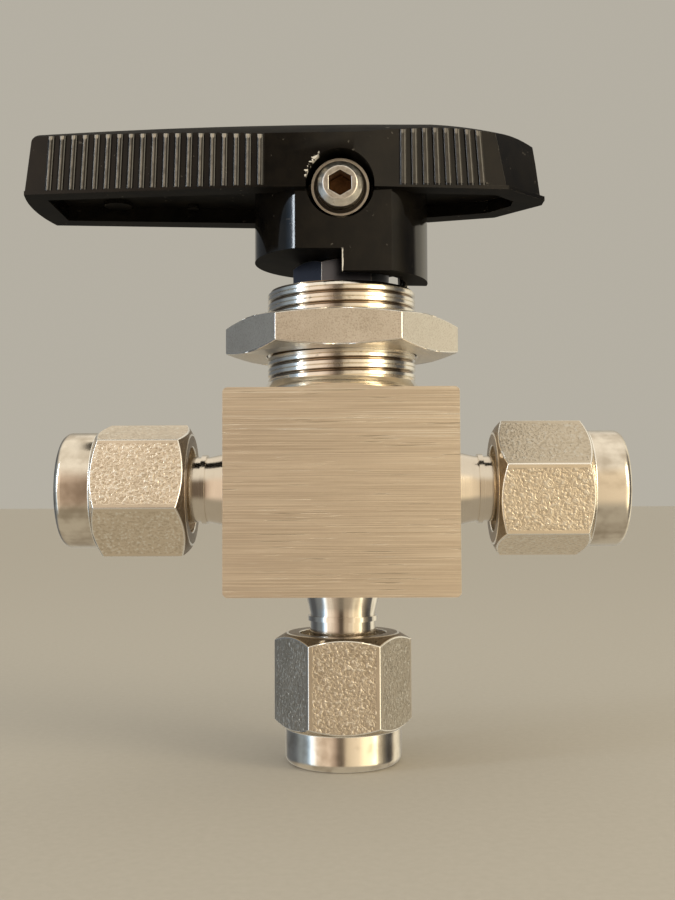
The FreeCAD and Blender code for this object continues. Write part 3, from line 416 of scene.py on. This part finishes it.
body_shape = bmesh.new()
body_shape.from_mesh(nodes["valve_body"].data)
bmesh.ops.remove_doubles(body_shape, verts=body_shape.verts, dist=1e-6)
sink_threads(body_shape)
for face in body_shape.faces:
    face.material_index = finish_of_face(face)
body_mesh = bpy.data.meshes.new("ground_body")
body_shape.to_mesh(body_mesh)
body_shape.free()
run_steel = make_turned_steel("run_turned_steel", "X", 0.10, ((0.42, 0.34, 0.25, 1), (0.80, 0.73, 0.63, 1)))
stem_steel = make_turned_steel("stem_turned_steel", "Z", 0.08, ((0.28, 0.21, 0.15, 1), steel_glint), 0.5)
neck_steel = make_turned_steel("neck_turned_steel", "Z", 0.10, (steel_pale, steel_glint))
for finish in (make_ground_steel(), run_steel, stem_steel, neck_steel):
    body_mesh.materials.append(finish)
ground_body = new_piece("ground_body", body_mesh, "body")
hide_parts("valve_body")
# Rounded edges of the block, bolt and insert: worn pale and brightened further as painted highlight.
worn_and_highlit_corner = make_turned_steel("worn_and_highlit_corner", "Y", 0.24, (steel_pale, (0.97, 0.93, 0.85, 1)))
ease_edges(ground_body, 0.09, worn_and_highlit_corner)

neck_thread = make_thread("panel_thread", neck_foot - 0.3, neck_top, neck_root, neck_crest, neck_pitch,
                          lambda a, b, c: Vector((a, b, c)))
neck_thread.materials.append(make_thread_steel())
new_piece("panel_thread", neck_thread, "body")

spigot_ends = {
    "left": lambda a, b, c: Vector((-c, a, port_level + b)),
    "right": lambda a, b, c: Vector((c, a, port_level + b)),
    "bottom": lambda a, b, c: Vector((a, b, -c)),
}
for side, to_frame in spigot_ends.items():
    tip = abs(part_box("valve_body")[0].z / MM) if side == "bottom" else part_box("valve_body")[1].x / MM
    thread = make_thread(side + "_port_thread", tip - spigot_length, tip - 0.05, spigot_root, spigot_crest,
                         spigot_pitch, to_frame)
    thread.materials.append(stem_steel if side == "bottom" else run_steel)
    new_piece(side + "_port_thread", thread, "body")


# ---------------------------------------------------------------- panel nut
# A thin hexagon nut, forged and tumbled, so its flats are grainy; its corners are bright, partly from wear
# and partly as painted highlight. Both faces are faced off, with a chamfer across the corners.
def make_nut_steel(name, grain, colours, height, tail_of=None, streak_grain=1.0):
    """Forged steel with a pebbled skin of the given height in millimetres. tail_of says where it is turned
    smooth and rubbed, and where shade is painted on the end that faces the body and on one darker flat."""
    finish = Finish(name, {"Metallic": 1.0})
    pebbles = finish.noise(grain, 1.5, 0.5, warp=0.6)
    swells = finish.noise(2.6, 2)
    if tail_of:
        smooth, painted_end_shade, rubbed, painted_flat_shade = tail_of(finish)
        pebbles = pebbles * (1 - rubbed) + rubbed * 0.55
    pits = 1 - finish.step(pebbles, 0.36, 0.48)
    glints = finish.step(pebbles, 0.57, 0.65)
    colour = finish.mix(swells, *colours)
    colour = finish.mix(pits * 0.30, colour, (0.40, 0.31, 0.20, 1))
    colour = finish.mix(glints * 0.75, colour, (1.0, 0.95, 0.84, 1))
    rough, relief = 0.32 + swells * 0.08, pebbles
    if not tail_of:
        # Painted shade: faces that look down are darker.
        colour = finish.mix(finish.step(finish.facing()[2] * -1, 0.3, 0.6) * 0.35, colour, steel_dark)
    else:
        # Painted reflections: the turned tail gets dark and bright streaks along its axis.
        smudge, streaks = finish.noise(1.6, 2), finish.noise(streak_grain, 2, 0.6)
        reflection_streaks = finish.step(smudge * 0.4 + streaks * 0.6, 0.36, 0.60)
        tail_with_reflections = finish.mix(reflection_streaks, (0.52, 0.45, 0.36, 1), (0.86, 0.79, 0.68, 1))
        # Painted shade on one darker flat.
        colour = finish.mix(painted_flat_shade * 0.45, colour, steel_dark)
        colour = finish.mix(smooth, colour, tail_with_reflections)
        # Painted shade on the end that faces the body.
        colour = finish.mix(painted_end_shade, colour, (0.24, 0.19, 0.14, 1))
        rough = rough * (1 - smooth) + (0.11 + smudge * 0.10) * smooth
        relief = relief * (1 - smooth) + streaks * 0.10 * smooth
    finish.show(Base_Color=colour, Roughness=rough, Bump=(relief, height))
    return finish.material


panel_nut = nodes["panel_nut"]
panel_nut_tones = ((0.90, 0.82, 0.70, 1), (1.0, 0.94, 0.83, 1))
panel_nut.data.materials[0] = make_nut_steel("panel_nut_steel", 0.13, panel_nut_tones, 0.012)
# The nuts' rounded corners: worn bright and brightened further as painted highlight.
nut_corner_wear_and_highlight = make_turned_steel("nut_corner_wear_and_highlight", "Z", 0.20, ((0.88, 0.83, 0.74, 1), (1.0, 0.97, 0.91, 1)))
ease_edges(panel_nut, 0.10, nut_corner_wear_and_highlight, 1, False)


# ---------------------------------------------------------------- tube nuts
# Each port has a hexagon nut with a round tail. The hexagon keeps its forged skin and the tail is turned
# bright, with dark and bright streaks along it painted as reflections. The end that faces the body is
# painted darker as shade, and the right and bottom nuts have one flat painted darker as shade.
nut_tail_length, nut_rub, nut_grain, nut_relief = 3.35, 6.2, 0.28, 0.09
nut_axes = {"left": ("x", -1), "right": ("x", 1), "bottom": ("z", -1)}
# The same steel on every nut, painted lighter or darker nut by nut as lit and shaded copies.
nut_tones = {"left": ((0.74, 0.64, 0.50, 1), (0.92, 0.80, 0.64, 1)),
             "right": ((0.86, 0.75, 0.59, 1), (0.98, 0.87, 0.70, 1)),
             "bottom": ((0.58, 0.51, 0.405, 1), (0.77, 0.68, 0.555, 1))}
# Which flat of each nut gets painted shade, by the way it faces.
shaded_flats = {"left": (0, 0, 0), "right": (0, 0, 1), "bottom": (0.62, 0, 0)}
for side, (axis, sign) in nut_axes.items():
    nut = nodes[side + "_nut"]
    low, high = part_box(side + "_nut")
    face = (high if sign > 0 else low)[{"x": 0, "z": 2}[axis]]

    def parts_of_nut(finish, axis=axis, sign=sign, face=face, shaded_flat=shaded_flats[side]):
        """How smooth and rubbed the nut is, and how much shade is painted on its end and on its darker
        flat, from 0 to 1 each.
        """
        depth = (getattr(finish, axis) - face) * -sign
        smooth = 1 - finish.step(depth, nut_tail_length * MM, (nut_tail_length + 0.1) * MM)
        facing = finish.facing()
        inward = facing["xyz".index(axis)] * -sign
        # Painted shade on the flat that faces the given way.
        painted_flat_shade = sum(part * share for part, share in zip(facing, shaded_flat))
        offsets = (finish.x, finish.y) if axis == "z" else (finish.y, finish.z - port_level * MM)
        rubbed = finish.step(distance_from_line(*offsets), nut_rub * MM, (nut_rub + 0.06) * MM)
        # Painted shade on the end that faces the body.
        painted_end_shade = finish.step(inward, 0.35, 0.6) * (1 - smooth) * 0.85
        return smooth, painted_end_shade, rubbed, finish.step(painted_flat_shade, 0.3, 0.7)

    streak_grain = [2.2 if letter != axis else 20 for letter in "xyz"]
    nut.data.materials[0] = make_nut_steel(side + "_nut_steel", nut_grain, nut_tones[side], nut_relief,
                                           parts_of_nut, streak_grain)
    ease_edges(nut, 0.10, nut_corner_wear_and_highlight, 1, False)


# ---------------------------------------------------------------- ferrules
# Two hardened rings in each nut grip the tube. Both are turned and plated, and the back one
# shows its end face inside the nut's hole.
ferrule_steel = make_turned_steel("ferrule_steel", "Y", 0.2, (steel_mid, steel_pale))
for side in nut_axes:
    for part in ("_front_ferrule", "_back_ferrule"):
        ferrule = nodes[side + part]
        ferrule.data.materials[0] = ferrule_steel
        ease_edges(ferrule, 0.04)


# ---------------------------------------------------------------- stem, gland and packing bolt
# What lies in the neck: ball and stem in one turned piece, two packing halves, bushing, gland,
# dished springs and the hollow bolt that presses on them, whose hexagon shows in the skirt. The bolt's
# steel is painted dark as the shade inside the skirt.
stem_finish = make_turned_steel("stem_finish", "Z", 0.12)
# Painted shade: the bolt's steel is made near black, as it lies in the skirt's shade.
bolt_painted_shade = make_turned_steel("bolt_painted_shade", "Z", 0.24, ((0.06, 0.065, 0.09, 1), (0.15, 0.155, 0.19, 1)))
for name in ("ball_stem", "gland", "lower_spring", "upper_spring", "right_stop_pin", "rear_stop_pin"):
    nodes[name].data.materials[0] = stem_finish
    ease_edges(nodes[name], 0.04)
for side in nut_axes:
    for part in ("_side_ring", "_side_disc"):
        nodes[side + part].data.materials[0] = stem_finish
nodes["packing_bolt"].data.materials[0] = bolt_painted_shade
ease_edges(nodes["packing_bolt"], 0.08, worn_and_highlit_corner)


def make_plastic(name, light, dark):
    """Machined plastic with a waxy skin and faint tool marks."""
    finish = Finish(name, {"Subsurface Weight": 0.05})
    marks, clouds = finish.noise((3, 3, 0.15), 2), finish.noise(1.2, 3)
    finish.show(Base_Color=finish.mix(clouds, dark, light), Roughness=0.4 + marks * 0.2,
                Bump=(marks, 0.01))
    return finish.material


packing_finish = make_plastic("packing_finish", (0.86, 0.85, 0.80, 1), (0.74, 0.73, 0.68, 1))
for name in ("lower_packing", "upper_packing"):
    nodes[name].data.materials[0] = packing_finish
nodes["bushing"].data.materials[0] = make_plastic("bushing_finish", (0.62, 0.50, 0.34, 1),
                                                  (0.50, 0.39, 0.25, 1))


# ---------------------------------------------------------------- handle
# Moulded glass-filled nylon, black going brown, with ribs along both arms. The rib crests and the
# point's edges are pale, partly worn by hands and partly painted highlight, and the hole and the
# skirt's notch are chipped.
wide_left, wide_right, half_width = 6.9, 1.4, 7.8
left_taper, right_taper = 0.0946, 0.187
crown_top, crown_round, crown_bend, nose_start, nose_bend = 23.9, 12.6, 520, 6, 40
rib_crest, rib_foot, foot_slope_left, foot_slope_right = -0.03, 16.62, 0.0083, 0.048
# An arm's ribs: start, pitch, where they begin to lean and how much for each millimetre, and
# where across a rib the pale line of wear and painted highlight lies.
left_ribs = (7.08, 1.072, 4.2, math.radians(0.167), 0.55)
right_ribs = (5.61, 1.028, 5.85, math.radians(0.643), 0.37)
point_start, chip_side, chip_foot, chip_face = 12.5, -1.7, 17.4, -6.6
screw_height, screw_hole_radius, notch_side, notch_top, notch_face = 16.95, 3.06, 0.16, 11.0, -6.4
nylon_black, nylon_brown = (0.0040, 0.0038, 0.0036, 1), (0.010, 0.0085, 0.0065, 1)
nylon_pale_wear_and_highlight, nylon_chip = (0.42, 0.39, 0.34, 1), (0.80, 0.78, 0.72, 1)


def make_nylon(name, wear, point_edge_wear_and_highlight=0.0):
    """Black nylon. wear is how pale its scuffs have become, and the last number how pale the edges of its
    point become, from wear and painted highlight. Inside, outside is how far a point lies out from the
    plain wall, and crown the handle's top."""
    finish = Finish(name, {"IOR": 1.40})
    grain, clouds, nicks = finish.noise(0.09, 2), finish.noise(2.2, 4, 0.6), finish.noise(0.8, 3, 0.65)
    colour = finish.mix(finish.step(clouds, 0.3, 0.7), nylon_black, nylon_brown)
    left_reach, right_reach = (finish.x * -1).math("MAXIMUM", 0), finish.x.math("MAXIMUM", 0)
    left_narrowing = (left_reach - wide_left * MM).math("MAXIMUM", 0) * left_taper
    right_narrowing = (right_reach - wide_right * MM).math("MAXIMUM", 0) * right_taper
    outside = finish.y.math("ABSOLUTE") + left_narrowing + right_narrowing - half_width * MM
    over_nose = (finish.x - nose_start * MM).math("MAXIMUM", 0)
    crown = (crown_top - crown_round) * MM + (crown_round ** 2 * MM ** 2 - finish.y * finish.y).math("SQRT")
    crown = crown - finish.x * finish.x * (0.5 / (crown_bend * MM))
    crown = crown - over_nose * over_nose * (0.5 / (nose_bend * MM))
    near_top = 1 - finish.step(crown - finish.z, 0.22 * MM, 0.42 * MM)
    crests = finish.step((outside - rib_crest * MM) + (0.04 * MM + near_top * (0.05 * MM)), 0, 0.015 * MM)
    above_rim = finish.z - left_reach * foot_slope_left - right_reach * foot_slope_right
    above_rim = finish.step(above_rim, (rib_foot + 0.02) * MM, (rib_foot + 0.10) * MM)
    right_arm = finish.step(finish.x, 0, MM)

    def stripes(reach, start, pitch, fan_start, fan, middle):
        """Lines along the ribs of one arm, which lean towards the hub."""
        row = reach + (finish.z - rib_foot * MM) * (reach * (1 / MM) - fan_start) * fan
        offset = (row * (1 / MM / pitch) - (start / pitch - 0.5)).math("FRACT") - middle
        return 1 - finish.step(offset.math("ABSOLUTE") - near_top * 0.08, 0.05, 0.12)

    line = stripes(left_reach, *left_ribs) * (1 - right_arm)
    line = line + (stripes(right_reach, *right_ribs) * 0.5 + 0.12) * right_arm
    crests = crests * above_rim * line
    crests = crests * (1 - finish.step(outside, -0.022 * MM, -0.010 * MM))
    rubbed = finish.step(outside, (rib_crest - 0.14) * MM, (rib_crest - 0.08) * MM) * right_arm
    # Wear and painted highlight: pale lines on the rib crests and beads at their tops.
    crest_wear_and_highlight = crests * (0.32 + finish.step(nicks, 0.35, 0.6) * 0.26 + near_top * 0.55)
    crest_wear_and_highlight = crest_wear_and_highlight.math("MAXIMUM", rubbed * above_rim * (0.05 + nicks * 0.14))
    scuffs = finish.step(nicks, 0.68, 0.73)
    colour = finish.mix(crest_wear_and_highlight, colour, nylon_pale_wear_and_highlight)
    colour = finish.mix(scuffs * wear, colour, nylon_pale_wear_and_highlight)
    # Wear and painted highlight on the point's edges.
    on_point = finish.step(finish.x, point_start * MM, (point_start + 1) * MM)
    bare = on_point * (0.5 + finish.step(nicks, 0.42, 0.6) * 0.5)
    colour = finish.mix(bare * point_edge_wear_and_highlight, colour, nylon_pale_wear_and_highlight)
    from_hole = distance_from_line(finish.x, finish.z - screw_height * MM) - screw_hole_radius * MM
    flakes = finish.noise((0.5, 3, 0.35), 2)
    chipped = 1 - finish.step(from_hole - (flakes - 0.48) * (2.6 * MM), 0, 0.04 * MM)
    chipped = chipped * finish.step(finish.x, chip_side * MM, (chip_side - 0.3) * MM)
    chipped = chipped * finish.step(finish.z, chip_foot * MM, (chip_foot + 0.2) * MM)
    chipped = chipped * finish.step(finish.y, chip_face * MM, (chip_face - 0.2) * MM)
    notch = (finish.x - notch_side * MM).math("ABSOLUTE") + (nicks - 0.5) * (0.2 * MM)
    notch = 1 - finish.step(notch, 0.07 * MM, 0.12 * MM)
    notch = notch * finish.step(finish.y, notch_face * MM, (notch_face - 0.3) * MM)
    chipped = chipped + notch * (1 - finish.step(finish.z, notch_top * MM, (notch_top + 0.3) * MM))
    colour = finish.mix(chipped, colour, nylon_chip)
    finish.show(Base_Color=colour, Roughness=0.045 + clouds * 0.06 + crests * 0.15,
                Bump=(grain * 0.3 + nicks * 0.7, 0.002))
    matt = finish.step(finish.facing()[2].math("ABSOLUTE"), 0.15, 0.45)
    finish.cover(matt, Base_Color=colour, Roughness=0.6, IOR=1.12)
    return finish.material


handle = nodes["handle"]
handle.data.materials[0] = make_nylon("handle_nylon", 0.2)
ease_edges(handle, 0.09, make_nylon("handle_worn_and_highlit_edges", 0.6, 1.0))


# ---------------------------------------------------------------- insert and set screw
# A steel insert is moulded in round the stem, and its threaded boss fills the round hole in the
# hub. The set screw has a hexagon socket with rust at its bottom.
def make_screw_steel():
    """Bright steel, rusty at the bottom of the socket."""
    finish = Finish("screw_steel", {"Metallic": 1.0})
    clean_before, rusty_from = -6.4, -5.6
    deep = finish.step(finish.y, clean_before * MM, rusty_from * MM)
    rust = finish.noise(0.35, 3)
    colour = finish.mix(rust, (0.50, 0.46, 0.40, 1), (0.85, 0.82, 0.76, 1))
    colour = finish.mix(deep, colour, finish.mix(rust, (0.025, 0.013, 0.007, 1), (0.13, 0.062, 0.026, 1)))
    finish.show(Base_Color=colour, Roughness=0.2 + rust * 0.25, Bump=(rust, 0.012))
    return finish.material


def make_insert_steel():
    """Turned steel with a dark ring round the screw, a little low, that is dirt and painted shade in the
    threaded hole's gap.
    """
    finish = Finish("insert_steel", {"Metallic": 1.0})
    smudge = finish.noise(0.8, 3)
    gap_radius, gap_drop = 2.36, 0.04
    from_screw = distance_from_line(finish.x, finish.z - (screw_height - gap_drop) * MM)
    # Dirt and painted shade: a dark ring round the screw.
    gap_dirt_and_shade = 1 - finish.step(from_screw, gap_radius * MM, (gap_radius + 0.06) * MM)
    colour = finish.mix(smudge, (0.72, 0.66, 0.56, 1), (0.98, 0.95, 0.88, 1))
    colour = finish.mix(gap_dirt_and_shade, colour, (0.04, 0.034, 0.028, 1))
    finish.show(Base_Color=colour, Roughness=0.16 + smudge * 0.1 + gap_dirt_and_shade * 0.3, Bump=(smudge, 0.004))
    return finish.material


nodes["handle_insert"].data.materials[0] = make_insert_steel()
ease_edges(nodes["handle_insert"], 0.08, worn_and_highlit_corner)
nodes["set_screw"].data.materials[0] = make_screw_steel()
ease_edges(nodes["set_screw"], 0.08)
